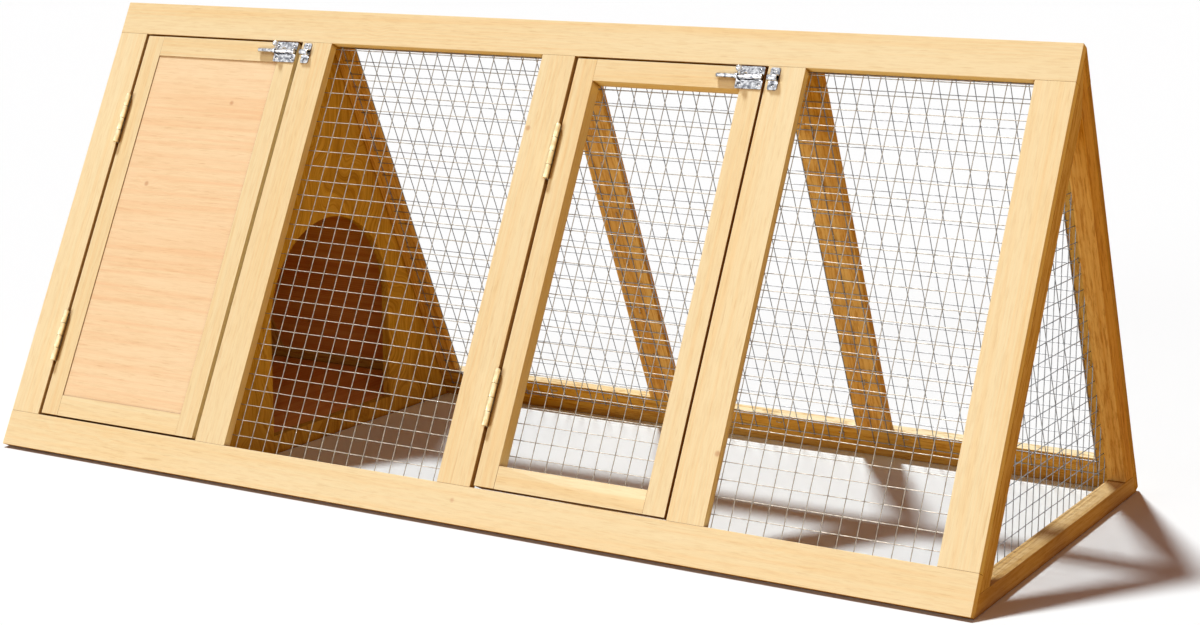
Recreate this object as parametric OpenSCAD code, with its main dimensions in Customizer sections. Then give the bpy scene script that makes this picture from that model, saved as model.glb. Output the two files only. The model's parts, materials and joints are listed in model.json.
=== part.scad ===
// A-frame rabbit hutch: two leaning panels that meet at a ridge, a boarded hut at the left end
// with an arched doorway, and a wire run for the rest of the length. Each bay is closed by wire
// mesh, a board or a door, and both doors hang on butt hinges and shut with a small sliding bolt.
// The origin is the middle of the footprint on the ground. X runs along the ridge, towards the
// run's end, Y to the back and Z up.

/* [Hutch] */
// Length along the ridge
hutch_l = 1180; // [1120:1:1500]
// Length of the front slope, from its foot to the ridge
slope_l = 548.6; // [520:0.1:700]
// Lean of each slope from upright, in degrees
lean = 26.3; // [25:0.1:31]

/* [Panel sticks] */
// Thickness of the panels' sticks
stick_t = 10; // [8:0.5:14]
// Width of the rails along the foot
bottom_rail_w = 40.3; // [34:0.1:50]
// Width of the rails along the ridge
top_rail_w = 39.2; // [34:0.1:50]
// Width of the stiles
stile_w = 40.5; // [36:0.1:50]

/* [Bays of the front] */
// Clear width of the hut's doorway
hut_bay = 233.2; // [190:0.1:260]
// Clear width of the first window
window_1_bay = 279.7; // [200:0.1:300]
// Clear width of the run's doorway
run_bay = 227.3; // [190:0.1:240]

/* [Doors] */
// Thickness of a door's frame
door_t = 16; // [14:0.5:20]
// Width of a door's sticks
door_stick_w = 24; // [20:0.5:30]
// Gap between a door's hinge edge and its stile
hinge_gap = 4.2; // [2.4:0.1:4.6]
// Gap between the hut door's latch edge and its stile
latch_gap_1 = 5.5; // [2.5:0.1:6]
// Gap between the run door's latch edge and its stile
latch_gap_2 = 3; // [2.5:0.1:6]
// Gap above and below a door
end_gap = 2.2; // [1.5:0.1:4]
// Thickness of the hut door's panel
panel_t = 7; // [5:0.5:9]
// How far the panel lies behind the door's face
panel_recess = 1; // [0.5:0.5:4]
// Depth of the groove that holds the panel
groove_d = 3; // [2:0.5:3]

/* [Hut] */
// Thickness of the end board and the partition
board_t = 10; // [8:0.5:14]
// Run-side face of the partition, from the near edge of the stile that covers it
partition_in = 16.3; // [12:0.1:25]
// Top of the hut's floor
floor_top = 21.5; // [18:0.5:30]
// Thickness of the hut's floor
floor_t = 9; // [6:0.5:12]
// Width of the arched doorway
arch_w = 224; // [160:1:228]
// Top of the arched doorway above the ground
arch_top = 258.5; // [220:0.5:262]
// Width of the battens under the floor
bearer_w = 20; // [15:0.5:30]

/* [Run end] */
// Thickness of the end frame along the ridge
end_frame_t = 20; // [15:0.5:30]
// Depth of its two legs, square to the slope
end_leg_d = 24; // [18:0.5:32]
// Height of its base rail
end_rail_h = 20; // [15:0.5:30]

/* [Wire mesh] */
// Thickness of the wire
wire_d = 1; // [0.8:0.1:2]
// Spacing of the upright wires
wire_pitch_u = 18.6; // [16:0.1:26]
// Spacing of the level wires
wire_pitch_v = 17.4; // [16:0.1:26]
// Real wires to each wire drawn in the front's meshes
front_wires_per_drawn = 2; // [1:1:3]
// Real wires to each wire drawn in the back's and the end's meshes
back_wires_per_drawn = 3; // [1:1:4]
// Least overlap of a mesh behind its sticks
mesh_lap = 2; // [1:0.5:6]
// Room between the mesh and the sloping panels at the run's end
end_mesh_gap = 5; // [2:0.5:15]

/* [Hinges] */
// Length of a hinge
hinge_l = 60; // [40:1:80]
// Middle of the lower hinge, up the slope
hinge_low = 134; // [100:1:160]
// Middle of the upper hinge, up the slope
hinge_high = 401.5; // [360:0.5:420]
// Outer radius of the barrel
barrel_r = 3; // [2.6:0.1:3.6]
// Radius of the pin
hinge_pin_r = 1.5; // [1.2:0.1:1.8]
// Running clearance round the pin
pin_clearance = 0.05; // [0.02:0.01:0.1]
// How far the barrel's middle stands out from the face
barrel_out = 4; // [3.8:0.1:6]
// Knuckles in a barrel
knuckles = 4; // [4:2:6]
// Gap between neighbouring knuckles
knuckle_gap = 0.4; // [0.3:0.1:0.8]
// Thickness of a hinge's leaf
leaf_t = 1; // [0.8:0.05:1.05]
// Depth of a leaf behind the face
leaf_d = 8; // [5:0.5:9]

/* [Bolts] */
// Width of a bolt's plate
bolt_plate_w = 30; // [28:0.5:36]
// Height of the plate and of the keeper
bolt_plate_h = 24; // [22:0.5:24.5]
// Thickness of the plate, the keeper and the straps
bolt_metal_t = 1; // [0.7:0.1:1.4]
// Radius of the rod
rod_r = 2.3; // [2:0.1:2.8]
// Length of the rod
rod_l = 52; // [48:1:70]
// Clearance between the rod and the plate under it
rod_gap = 0.3; // [0.2:0.1:0.6]
// Running clearance of the rod in its straps
strap_clearance = 0.08; // [0.04:0.01:0.1]
// Width of each strap
strap_w = 3; // [2.5:0.5:4]
// Width of the keeper
keeper_w = 10.5; // [8:0.5:14]
// Distance of the keeper from the stile's edge
keeper_in = 3.4; // [2:0.1:6]
// Clearance between the rod and the keeper
keeper_clearance = 0.5; // [0.3:0.1:1]
// Radius of the knob's stem
stem_r = 1.75; // [1.5:0.05:2]
// Radius of the knob's head
knob_r = 3.3; // [2.8:0.1:4]
// Distance of the head's middle from the rod's middle
knob_out = 9; // [8:0.5:11]
// Lean of the knob from the rod up the slope, in degrees
knob_lean = 45; // [20:1:70]
// Room at the end of the knob's travel
knob_stop = 0.3; // [0.2:0.1:1]
// Radius of the screws' shanks
screw_r = 1.3; // [1:0.1:1.6]
// Radius of the screws' heads
screw_head_r = 2.6; // [2.2:0.1:3]
// Height of the screws' heads
screw_head_h = 1.3; // [0.8:0.1:2]
// Depth of the screws in the wood
screw_l = 7; // [5:0.5:7.5]
// Clearance of the screws in their holes
screw_clearance = 0.05; // [0.02:0.01:0.2]
// Distance of the screws from the rod's middle
screw_off = 8; // [7.5:0.1:9]
// Distance of the screws from the plate's ends
screw_in = 4; // [3.5:0.1:5]

/* [Hidden] */
$fn = 64;

// Colours of the wood in the light, of the boards and of the metals
PINE = [0.95, 0.82, 0.6];
PANEL_PINE = [0.93, 0.77, 0.56];
BOARD = [0.85, 0.68, 0.42];
ZINC = [0.8, 0.78, 0.72];
BOLT_STEEL = [0.85, 0.86, 0.88];
GALVANISED = [0.75, 0.76, 0.78];

// The slopes: the back one is butted under the front one, so it is a little shorter
back_slope_l = slope_l - stick_t * tan(lean);
hutch_w = (slope_l + back_slope_l) * sin(lean) + stick_t * cos(lean);
foot_z = stick_t * sin(lean);
inner_foot_y = hutch_w / 2 - stick_t * cos(lean);
inner_apex_z = inner_foot_y / tan(lean);
// Half the width between the panels' inner faces, at a height above the ground
function inner_half(z) = (inner_apex_z - z) * tan(lean);

// Left edges of the stiles of both panels
stile_2_x = stile_w + hut_bay;
stile_3_x = stile_2_x + stile_w + window_1_bay;
stile_4_x = stile_3_x + stile_w + run_bay;
stile_5_x = hutch_l - stile_w;
stile_x = [0, stile_2_x, stile_3_x, stile_4_x, stile_5_x];
function bay_from(i) = stile_x[i] + stile_w;
function bay_to(i) = stile_x[i + 1];

// The hut
partition_x = stile_2_x + partition_in;
bearer_h = floor_top - floor_t;

// The run's end
end_frame_x = hutch_l - end_frame_t;

// The doors
latch_gap = [latch_gap_1, latch_gap_2];
door_from = [bay_from(0) + hinge_gap, bay_from(2) + hinge_gap];
door_to = [bay_to(0) - latch_gap[0], bay_to(2) - latch_gap[1]];
door_low = bottom_rail_w + end_gap;
door_high = slope_l - top_rail_w - end_gap;

// The hinges
hinge_v = [hinge_high, hinge_low];
knuckle_l = hinge_l / knuckles;
pin_bore_r = hinge_pin_r + pin_clearance;
pin_head_r = hinge_pin_r + 0.8;
pin_head_h = 1;
// The leaves end just under the other leaf's knuckles, and their tabs run into their own
leaf_clearance = 0.3;
leaf_top = barrel_out - barrel_r - leaf_clearance;
tab_lap = (barrel_r - pin_bore_r) / 1.3;
tab_top = barrel_out - barrel_r + tab_lap;

// The bolts: the rods are drawn with the bolts drawn back, so that the doors can open
rod_out = bolt_metal_t + rod_gap + rod_r;
plate_over = 0.6;
rod_v = door_high + plate_over - bolt_plate_h / 2;
strap_r = rod_r + strap_clearance;
slot_l = bolt_plate_w - 2 * strap_w;
bolt_travel = slot_l - 2 * stem_r - 2 * knob_stop;
knob_x = -bolt_plate_w + strap_w + knob_stop + stem_r;
rod_end_round = 0.8;
plate_corner_r = 1.5;
keeper_foot_r = 2;
echo(bolt_travel = bolt_travel, hutch_w = hutch_w, ridge_h = foot_z + slope_l * cos(lean));

// Places its children in the front panel: x from the left end, y up the slope, z out of the face
module on_front() {
    translate([-hutch_l / 2, -hutch_w / 2, foot_z]) rotate([90 - lean, 0, 0]) children();
}

// Places its children in the back panel: x from the left end, y up the slope, z out of the face
module on_back() {
    translate([-hutch_l / 2, hutch_w / 2, foot_z]) rotate([90 + lean, 0, 0]) mirror([0, 0, 1]) children();
}

// Places an outline in Y and Z at a distance from the left end, and gives it a thickness
module across(x, thickness) {
    translate([x - hutch_l / 2, 0, 0]) rotate([90, 0, 90]) linear_extrude(thickness) children();
}

// A stick of a panel, from its two corners on the face
module stick(from, to, thickness = stick_t) {
    translate([from.x, from.y, -thickness]) cube([to.x - from.x, to.y - from.y, thickness]);
}

// The outline between the two panels, from one height to another
module gable(low, high) {
    polygon([
        [-inner_half(low), low], [inner_half(low), low],
        [inner_half(high), high], [-inner_half(high), high]
    ]);
}

// The outline between the two panels, from the ground up to the ridge
module full_gable() {
    polygon([[-inner_half(0), 0], [inner_half(0), 0], [0, inner_apex_z]]);
}

// Panels: rails along the whole length, with stiles butted between them

module front_top_rail() {
    color(PINE) on_front() stick([0, slope_l - top_rail_w], [hutch_l, slope_l]);
}

module front_bottom_rail() {
    color(PINE) on_front() stick([0, 0], [hutch_l, bottom_rail_w]);
}

// Stiles 2 and 4 are drilled for the screws of the keepers
module front_stile(i) {
    color(PINE) on_front() difference() {
        stick([stile_x[i], bottom_rail_w], [bay_from(i), slope_l - top_rail_w]);
        if (i == 1) keeper_holes(0);
        if (i == 3) keeper_holes(1);
    }
}

// The back's top rail is bevelled to lie against the inner face of the front's
module back_top_rail() {
    bevel = stick_t / tan(2 * lean);
    low = back_slope_l - top_rail_w;
    color(PINE) on_back() rotate([90, 0, 90]) linear_extrude(hutch_l)
        polygon([[low, 0], [back_slope_l, 0], [back_slope_l - bevel, -stick_t], [low, -stick_t]]);
}

module back_bottom_rail() {
    color(PINE) on_back() stick([0, 0], [hutch_l, bottom_rail_w]);
}

module back_stile(i) {
    color(PINE) on_back()
        stick([stile_x[i], bottom_rail_w], [bay_from(i), back_slope_l - top_rail_w]);
}

// Hut: a boarded back, a boarded end, a floor on battens and a partition with an arched doorway

module hut_back_wall() {
    color(PANEL_PINE) on_back() translate([0, 0, panel_t - stick_t])
        stick([bay_from(0), bottom_rail_w], [bay_to(0), back_slope_l - top_rail_w], panel_t);
}

module left_end_board() {
    color(BOARD) across(0, board_t) full_gable();
}

module bearer(x) {
    across(x, bearer_w) gable(0, bearer_h);
}

module left_base_rail() {
    color(PINE) bearer(board_t);
}

module floor_bearers() {
    first = board_t;
    last = partition_x - board_t - bearer_w;
    color(PINE) for (x = [(first + last) / 2, last]) bearer(x);
}

module hut_floor() {
    color(BOARD) across(board_t, partition_x - 2 * board_t) gable(bearer_h, floor_top);
}

module partition_board() {
    arch_r = arch_w / 2;
    color(BOARD) across(partition_x - board_t, board_t) difference() {
        full_gable();
        translate([0, arch_top - arch_r]) circle(arch_r);
        translate([-arch_r, floor_top]) square([arch_w, arch_top - arch_r - floor_top]);
    }
}

// Run end: a base rail, and two legs that stand on it and meet at the ridge

module right_base_rail() {
    color(PINE) across(end_frame_x, end_frame_t) gable(0, end_rail_h);
}

module end_leg(side) {
    inner_foot = inner_half(end_rail_h) - end_leg_d / cos(lean);
    inner_top = inner_apex_z - end_leg_d / sin(lean);
    across(end_frame_x, end_frame_t) polygon([
        [side * inner_half(end_rail_h), end_rail_h], [0, inner_apex_z],
        [0, inner_top], [side * inner_foot, end_rail_h]
    ]);
}

module right_front_leg() {
    color(PINE) end_leg(-1);
}

module right_back_leg() {
    color(PINE) end_leg(1);
}

// Wire mesh: flat nets of straight wires, welded where they cross

// A net that covers a clear opening, centred on it, in whole meshes
module net(from, to, every) {
    pitch = [wire_pitch_u, wire_pitch_v] * every;
    clear = to - from;
    meshes = [for (k = [0, 1]) ceil((clear[k] + 2 * mesh_lap) / pitch[k])];
    size = [meshes.x * pitch.x, meshes.y * pitch.y];
    corner = (from + to - size) / 2;
    linear_extrude(wire_d) {
        for (i = [0:meshes.x])
            translate([corner.x + i * pitch.x - wire_d / 2, corner.y - wire_d / 2])
                square([wire_d, size.y + wire_d]);
        for (j = [0:meshes.y])
            translate([corner.x - wire_d / 2, corner.y + j * pitch.y - wire_d / 2])
                square([size.x + wire_d, wire_d]);
    }
}

// A net behind the front panel's sticks, across one bay
module window_net(i) {
    color(GALVANISED) on_front() translate([0, 0, -stick_t - wire_d])
        net([bay_from(i), bottom_rail_w], [bay_to(i), slope_l - top_rail_w], front_wires_per_drawn);
}

module window_1_mesh() {
    window_net(1);
}

module window_2_mesh() {
    window_net(3);
}

// One net covers the three bays of the run's back
module back_mesh() {
    color(GALVANISED) on_back() translate([0, 0, -stick_t - wire_d])
        net([bay_from(1), bottom_rail_w], [bay_to(3), back_slope_l - top_rail_w], back_wires_per_drawn);
}

// The net of the run's end follows the two slopes, on the inner side of the end frame
module right_end_mesh() {
    inset = end_mesh_gap / cos(lean);
    pitch_y = wire_pitch_u * back_wires_per_drawn;
    pitch_z = wire_pitch_v * back_wires_per_drawn;
    low = end_rail_h - mesh_lap - wire_d;
    high = inner_apex_z - end_leg_d / sin(lean) + 2 * end_leg_d;
    columns = floor((inner_half(low + pitch_z) - inset) / pitch_y);
    rows = floor((high - low) / pitch_z);
    color(GALVANISED) across(end_frame_x - wire_d, wire_d) {
        for (i = [-columns:columns]) {
            top = inner_apex_z - (abs(i * pitch_y) + inset) / tan(lean);
            translate([i * pitch_y - wire_d / 2, low]) square([wire_d, min(top, high) - low]);
        }
        for (j = [0:rows]) {
            z = low + j * pitch_z;
            half = inner_half(z) - inset;
            translate([-half, z]) square([2 * half, wire_d]);
        }
    }
}

// Doors: two full-height stiles, rails butted between them, flush with the front panel's face

// The groove round the hut door's frame, cut only where a piece holds the panel
module panel_groove() {
    inset = door_stick_w - groove_d;
    translate([0, 0, -panel_recess]) stick(
        [door_from[0] + inset, door_low + inset], [door_to[0] - inset, door_high - inset], panel_t);
}

module door_part(i, from, to) {
    color(PINE) on_front() difference() {
        stick(from, to, door_t);
        if (i == 0) panel_groove();
        bolt_holes(i);
    }
}

module door_hinge_stile(i) {
    door_part(i, [door_from[i], door_low], [door_from[i] + door_stick_w, door_high]);
}

module door_latch_stile(i) {
    door_part(i, [door_to[i] - door_stick_w, door_low], [door_to[i], door_high]);
}

module door_rail(i, low) {
    door_part(i, [door_from[i] + door_stick_w, low], [door_to[i] - door_stick_w, low + door_stick_w]);
}

module door_1_panel() {
    color(PANEL_PINE) on_front() panel_groove();
}

module door_2_mesh() {
    color(GALVANISED) on_front() translate([0, 0, -door_t - wire_d]) net(
        [door_from[1] + door_stick_w, door_low + door_stick_w],
        [door_to[1] - door_stick_w, door_high - door_stick_w], front_wires_per_drawn);
}

// Hinges: butt hinges whose leaves stand in the gap, with the barrel in front of the face.
// Each is drawn from its upper end downwards, with x from the pin's axis towards the door.

module on_hinge(i, h) {
    on_front() translate([door_from[i] - hinge_gap / 2, hinge_v[h] + hinge_l / 2, barrel_out])
        rotate([90, 0, 0]) children();
}

// The leaf on the stile has side -1 and the first knuckle, and the door's has side 1
module hinge_leaf(i, h, side) {
    outer = side * hinge_gap / 2;
    inner = side * (hinge_gap / 2 - leaf_t);
    leaf_x = min(outer, inner);
    first = side < 0 ? 0 : 1;
    color(ZINC) on_hinge(i, h) difference() {
        union() {
            translate([leaf_x, -barrel_out - leaf_d, 0]) cube([leaf_t, leaf_d + leaf_top, hinge_l]);
            for (k = [first:2:knuckles - 1])
                translate([0, 0, k * knuckle_l + knuckle_gap / 2]) {
                    cylinder(r = barrel_r, h = knuckle_l - knuckle_gap);
                    translate([leaf_x, -barrel_out - 1, 0])
                        cube([leaf_t, tab_top + 1, knuckle_l - knuckle_gap]);
                }
        }
        translate([0, 0, -1]) cylinder(r = pin_bore_r, h = hinge_l + 2);
    }
}

module hinge_pin(i, h) {
    color(ZINC) on_hinge(i, h) {
        translate([0, 0, knuckle_gap / 2]) cylinder(r = hinge_pin_r, h = hinge_l - knuckle_gap / 2);
        translate([0, 0, knuckle_gap / 2 - pin_head_h]) cylinder(r = pin_head_r, h = pin_head_h);
    }
}

// Bolts: a plate with two straps, a sliding rod with a knob, and a keeper on the stile.
// Each is drawn with x from the door's latch edge, y from the rod's middle and z from the face.

module on_bolt(i) {
    translate([door_to[i], rod_v, 0]) children();
}

// Middles of the screws of a plate
plate_screws = [
    for (x = [-bolt_plate_w + screw_in, -screw_in], y = [-screw_off, screw_off]) [x, y]
];

// A keeper stands on the stile past the latch gap, with a screw at each end
function keeper_x(i) = latch_gap[i] + keeper_in;
function keeper_screw_places(i) = [
    for (y = [-screw_off, screw_off]) [keeper_x(i) + keeper_w / 2, y]
];

module screw_holes(places, depth) {
    for (p = places) translate([p.x, p.y, -depth])
        cylinder(r = screw_r + screw_clearance, h = depth + bolt_metal_t + 1);
}

module bolt_holes(i) {
    on_bolt(i) screw_holes(plate_screws, screw_l);
}

module keeper_holes(i) {
    on_bolt(i) screw_holes(keeper_screw_places(i), screw_l);
}

// Round-headed screws, whose heads are the tops of large spheres
module screws(i, places) {
    dome_r = (pow(screw_head_r, 2) + pow(screw_head_h, 2)) / (2 * screw_head_h);
    color(BOLT_STEEL) on_front() on_bolt(i) for (p = places) translate([p.x, p.y, 0]) {
        translate([0, 0, -screw_l]) cylinder(r = screw_r, h = screw_l + bolt_metal_t);
        translate([0, 0, bolt_metal_t]) intersection() {
            cylinder(r = screw_head_r, h = screw_head_h);
            translate([0, 0, screw_head_h - dome_r]) sphere(dome_r);
        }
    }
}

// The outline of an arch over the rod: half a circle, with straight legs down to a level
module rod_arch(arch_r, low) {
    translate([-arch_r, low]) square([2 * arch_r, rod_out - low]);
    intersection() {
        translate([0, rod_out]) circle(arch_r);
        translate([-arch_r, rod_out]) square([2 * arch_r, arch_r]);
    }
}

// A strap bent over the rod, along x, with its two legs down to the wood
module strap(width, bore_r) {
    rotate([90, 0, 90]) linear_extrude(width) difference() {
        rod_arch(bore_r + bolt_metal_t, 0);
        rod_arch(bore_r, bolt_metal_t);
    }
}

// A plate with rounded corners, from its lower left corner
module rounded_plate(size, corner_r) {
    linear_extrude(bolt_metal_t) {
        translate([corner_r, 0]) square([size.x - 2 * corner_r, size.y]);
        translate([0, corner_r]) square([size.x, size.y - 2 * corner_r]);
        for (x = [corner_r, size.x - corner_r], y = [corner_r, size.y - corner_r])
            translate([x, y]) circle(corner_r);
    }
}

module bolt_plate(i) {
    color(BOLT_STEEL) on_front() on_bolt(i) difference() {
        union() {
            translate([-bolt_plate_w, -bolt_plate_h / 2, 0])
                rounded_plate([bolt_plate_w, bolt_plate_h], plate_corner_r);
            for (x = [-bolt_plate_w, -strap_w]) translate([x, 0, 0]) strap(strap_w, strap_r);
        }
        screw_holes(plate_screws, 1);
    }
}

module bolt_keeper(i) {
    color(BOLT_STEEL) on_front() on_bolt(i) difference() {
        translate([keeper_x(i), 0, 0]) {
            translate([0, -bolt_plate_h / 2, 0]) rounded_plate([keeper_w, bolt_plate_h], keeper_foot_r);
            strap(keeper_w, rod_r + keeper_clearance);
        }
        screw_holes(keeper_screw_places(i), 1);
    }
}

module bolt_rod(i) {
    e = rod_end_round;
    color(BOLT_STEEL) on_front() on_bolt(i) translate([-rod_l, 0, rod_out]) rotate([0, 90, 0])
        rotate_extrude() polygon([
            [0, 0], [rod_r - e, 0], [rod_r, e], [rod_r, rod_l - e], [rod_r - e, rod_l], [0, rod_l]
        ]);
}

// The knob: a turned stem and a round head, seated on the rod
module bolt_knob(i) {
    seat_r = rod_r + strap_clearance;
    color(BOLT_STEEL) on_front() on_bolt(i) translate([knob_x, 0, rod_out]) rotate([-knob_lean, 0, 0])
        difference() {
            union() {
                cylinder(r = stem_r, h = knob_out);
                translate([0, 0, knob_out]) sphere(knob_r);
            }
            translate([-stem_r - 1, 0, 0]) rotate([0, 90, 0]) cylinder(r = seat_r, h = 2 * stem_r + 2);
        }
}

front_top_rail();
front_bottom_rail();
front_stile(0);  // front_stile_1
front_stile(1);  // front_stile_2
front_stile(2);  // front_stile_3
front_stile(3);  // front_stile_4
front_stile(4);  // front_stile_5
back_top_rail();
back_bottom_rail();
back_stile(0);  // back_stile_1
back_stile(1);  // back_stile_2
back_stile(2);  // back_stile_3
back_stile(3);  // back_stile_4
back_stile(4);  // back_stile_5
hut_back_wall();
left_end_board();
left_base_rail();
partition_board();
hut_floor();
floor_bearers();
right_front_leg();
right_back_leg();
right_base_rail();
right_end_mesh();
window_1_mesh();
window_2_mesh();
back_mesh();
door_hinge_stile(0);  // door_1_hinge_stile
door_latch_stile(0);  // door_1_latch_stile
door_rail(0, door_high - door_stick_w);  // door_1_top_rail
door_rail(0, door_low);  // door_1_bottom_rail
door_1_panel();
door_hinge_stile(1);  // door_2_hinge_stile
door_latch_stile(1);  // door_2_latch_stile
door_rail(1, door_high - door_stick_w);  // door_2_top_rail
door_rail(1, door_low);  // door_2_bottom_rail
door_2_mesh();
hinge_leaf(0, 0, -1);  // door_1_upper_frame_leaf
hinge_pin(0, 0);  // door_1_upper_pin
hinge_leaf(0, 0, 1);  // door_1_upper_door_leaf
hinge_leaf(0, 1, -1);  // door_1_lower_frame_leaf
hinge_pin(0, 1);  // door_1_lower_pin
hinge_leaf(0, 1, 1);  // door_1_lower_door_leaf
hinge_leaf(1, 0, -1);  // door_2_upper_frame_leaf
hinge_pin(1, 0);  // door_2_upper_pin
hinge_leaf(1, 0, 1);  // door_2_upper_door_leaf
hinge_leaf(1, 1, -1);  // door_2_lower_frame_leaf
hinge_pin(1, 1);  // door_2_lower_pin
hinge_leaf(1, 1, 1);  // door_2_lower_door_leaf
bolt_plate(0);  // bolt_1_plate
bolt_rod(0);  // bolt_1_rod
bolt_knob(0);  // bolt_1_knob
bolt_keeper(0);  // bolt_1_keeper
screws(0, plate_screws);  // bolt_1_screws
bolt_plate(1);  // bolt_2_plate
bolt_rod(1);  // bolt_2_rod
bolt_knob(1);  // bolt_2_knob
bolt_keeper(1);  // bolt_2_keeper
screws(1, plate_screws);  // bolt_2_screws
union() {  // keeper_screws
    screws(0, keeper_screw_places(0));
    screws(1, keeper_screw_places(1));
}
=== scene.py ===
# %% [markdown]
# # A wooden A-frame rabbit hutch
# Two leaning pine panels meet at a ridge. A boarded hut fills the left end, and the rest of the
# length is a run closed with welded wire mesh. The sizes, the joints and the solids come from a
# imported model, so this lesson is about what makes them look real: planed pine with its grain
# along each stick, bright little bolts, zinc hinges, and nets of round wire in place of the flat
# strips that a solid model can afford.

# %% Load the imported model
import json
import math
import random
from collections import namedtuple

import bmesh
import bpy
from mathutils import Matrix, Vector


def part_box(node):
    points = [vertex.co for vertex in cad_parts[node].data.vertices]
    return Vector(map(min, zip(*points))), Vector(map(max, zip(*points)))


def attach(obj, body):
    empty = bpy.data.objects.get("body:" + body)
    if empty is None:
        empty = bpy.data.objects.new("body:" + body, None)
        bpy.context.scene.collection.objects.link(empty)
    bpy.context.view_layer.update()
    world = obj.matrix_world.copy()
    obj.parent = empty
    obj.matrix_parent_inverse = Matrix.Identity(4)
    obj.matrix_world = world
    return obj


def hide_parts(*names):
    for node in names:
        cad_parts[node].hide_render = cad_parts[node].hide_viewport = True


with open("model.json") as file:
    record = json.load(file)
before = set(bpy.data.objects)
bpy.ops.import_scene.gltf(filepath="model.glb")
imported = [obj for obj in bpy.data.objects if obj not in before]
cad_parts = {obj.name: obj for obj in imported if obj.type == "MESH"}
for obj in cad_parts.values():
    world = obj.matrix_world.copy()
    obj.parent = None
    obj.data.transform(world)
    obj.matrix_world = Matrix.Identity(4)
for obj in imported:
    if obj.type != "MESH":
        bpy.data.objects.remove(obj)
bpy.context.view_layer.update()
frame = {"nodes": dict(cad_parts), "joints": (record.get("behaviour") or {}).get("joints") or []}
nodes = frame["nodes"]

# %% [markdown]
# ## Directions
# The two slopes lean, so distances are easiest to take along the slopes themselves. The lean could
# be written here as a number, but then it could differ from the model's. A joint of the model
# already points down the front slope: the pin of each door's hinges. Three directions then give
# every place on a panel: along the ridge, up the slope, and out of the face.

# %% Directions of the two panels
ALONG = Vector((1, 0, 0))
ACROSS = Vector((0, 1, 0))
UPRIGHT = Vector((0, 0, 1))
hinge_axis = {joint["name"]: Vector(joint["axis"]) for joint in frame["joints"]}["door_1_swing"]
FRONT_UP = -hinge_axis.normalized()
FRONT_OUT = ALONG.cross(FRONT_UP)
BACK_UP = Vector((0, -FRONT_UP.y, FRONT_UP.z))
BACK_OUT = Vector((0, -FRONT_OUT.y, FRONT_OUT.z))


def reach(node, direction):
    """Least and greatest distance of a solid's corners along a direction."""
    places = [corner.co.dot(direction) for corner in nodes[node].data.vertices]
    return min(places), max(places)


lean = math.degrees(math.atan2(FRONT_UP.y, FRONT_UP.z))
stick_inner, stick_outer = reach("front_stile_1", FRONT_OUT)
print(f"lean {lean:.1f} degrees, sticks {(stick_outer - stick_inner) * 1000:.1f} mm thick")

# %% [markdown]
# ## Camera
# The photograph was taken from the front right, a little above the ridge, with a fairly long lens.
# Three angles could turn the camera, but they are hard to judge by eye. Here it is placed by three
# values that a photographer would give: where it stands, what it points at, and how far it is
# rolled.

# %% Camera
CAMERA_AT = Vector((1.25318, -2.02609, 0.65764))
CAMERA_AIM = Vector((0.06170, 0.00244, 0.18282))
CAMERA_ROLL = math.radians(0.1154)
CAMERA_LENS = 66.36
SENSOR_WIDTH = 36.0
FARTHEST_SEEN = 50.0


def put(name, data):
    """Puts a new object that has this data into the scene."""
    made = bpy.data.objects.new(name, data)
    bpy.context.scene.collection.objects.link(made)
    return made


camera = put("camera", bpy.data.cameras.new("camera"))
camera.data.lens = CAMERA_LENS
camera.data.sensor_width = SENSOR_WIDTH
camera.data.sensor_fit = "HORIZONTAL"
camera.data.clip_end = FARTHEST_SEEN
camera.location = CAMERA_AT
level = (CAMERA_AIM - CAMERA_AT).to_track_quat("-Z", "Y").to_matrix()
camera.rotation_mode = "QUATERNION"
camera.rotation_quaternion = (level @ Matrix.Rotation(CAMERA_ROLL, 3, "Z")).to_quaternion()
bpy.context.scene.camera = camera
bpy.context.scene.view_settings.view_transform = "Standard"
print(f"camera {(CAMERA_AIM - CAMERA_AT).length:.2f} m from what it points at")

# %% [markdown]
# ## Building materials in code
# A material is a graph of nodes. It could be drawn by hand in the editor, but a graph that is
# built in code can be built again with other values, as the many kinds of pine below are. A helper
# that adds a node, sets it and plugs in its inputs keeps the graphs short enough to read as
# recipes.

# %% Adding nodes


def add(tree, kind, inputs=None, **settings):
    """Adds a node. An input is a socket to link, or a value to set."""
    made = tree.nodes.new(kind)
    for name, value in settings.items():
        setattr(made, name, value)
    for name, value in (inputs or {}).items():
        if isinstance(value, bpy.types.NodeSocket):
            tree.links.new(value, made.inputs[name])
        else:
            made.inputs[name].default_value = value
    return made


def empty_tree(owner):
    """The node tree of a material or a world, cleared."""
    owner.use_nodes = True
    owner.node_tree.nodes.clear()
    return owner.node_tree


def new_material(name):
    """An empty material with its tree, and its shader plugged into its output."""
    material = bpy.data.materials.new(name)
    tree = empty_tree(material)
    shader = add(tree, "ShaderNodeBsdfPrincipled")
    add(tree, "ShaderNodeOutputMaterial", {"Surface": shader.outputs[0]})
    return material, tree, shader


print("helpers:", [helper.__name__ for helper in (add, empty_tree, new_material)])

# %% Sums and steps


def math_node(tree, operation, first, second=0.0, clamp=False):
    """The result of one sum on two values or sockets."""
    made = add(tree, "ShaderNodeMath", {0: first, 1: second}, operation=operation, use_clamp=clamp)
    return made.outputs[0]


def weigh(tree, start, *shares, clamp=False):
    """A start value with a share of each socket added, and kept from 0 to 1 where it is clamped."""
    for socket, share in shares:
        part = math_node(tree, "MULTIPLY", socket, share)
        start = math_node(tree, "ADD", start, part, clamp=clamp)
    return start


def ramp(tree, value, low, high):
    """Turns a value into 0 below low, 1 above high and a smooth step between."""
    made = add(tree, "ShaderNodeMapRange", {"Value": value, "From Min": low, "From Max": high},
               interpolation_type="SMOOTHSTEP")
    return made.outputs["Result"]


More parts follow.
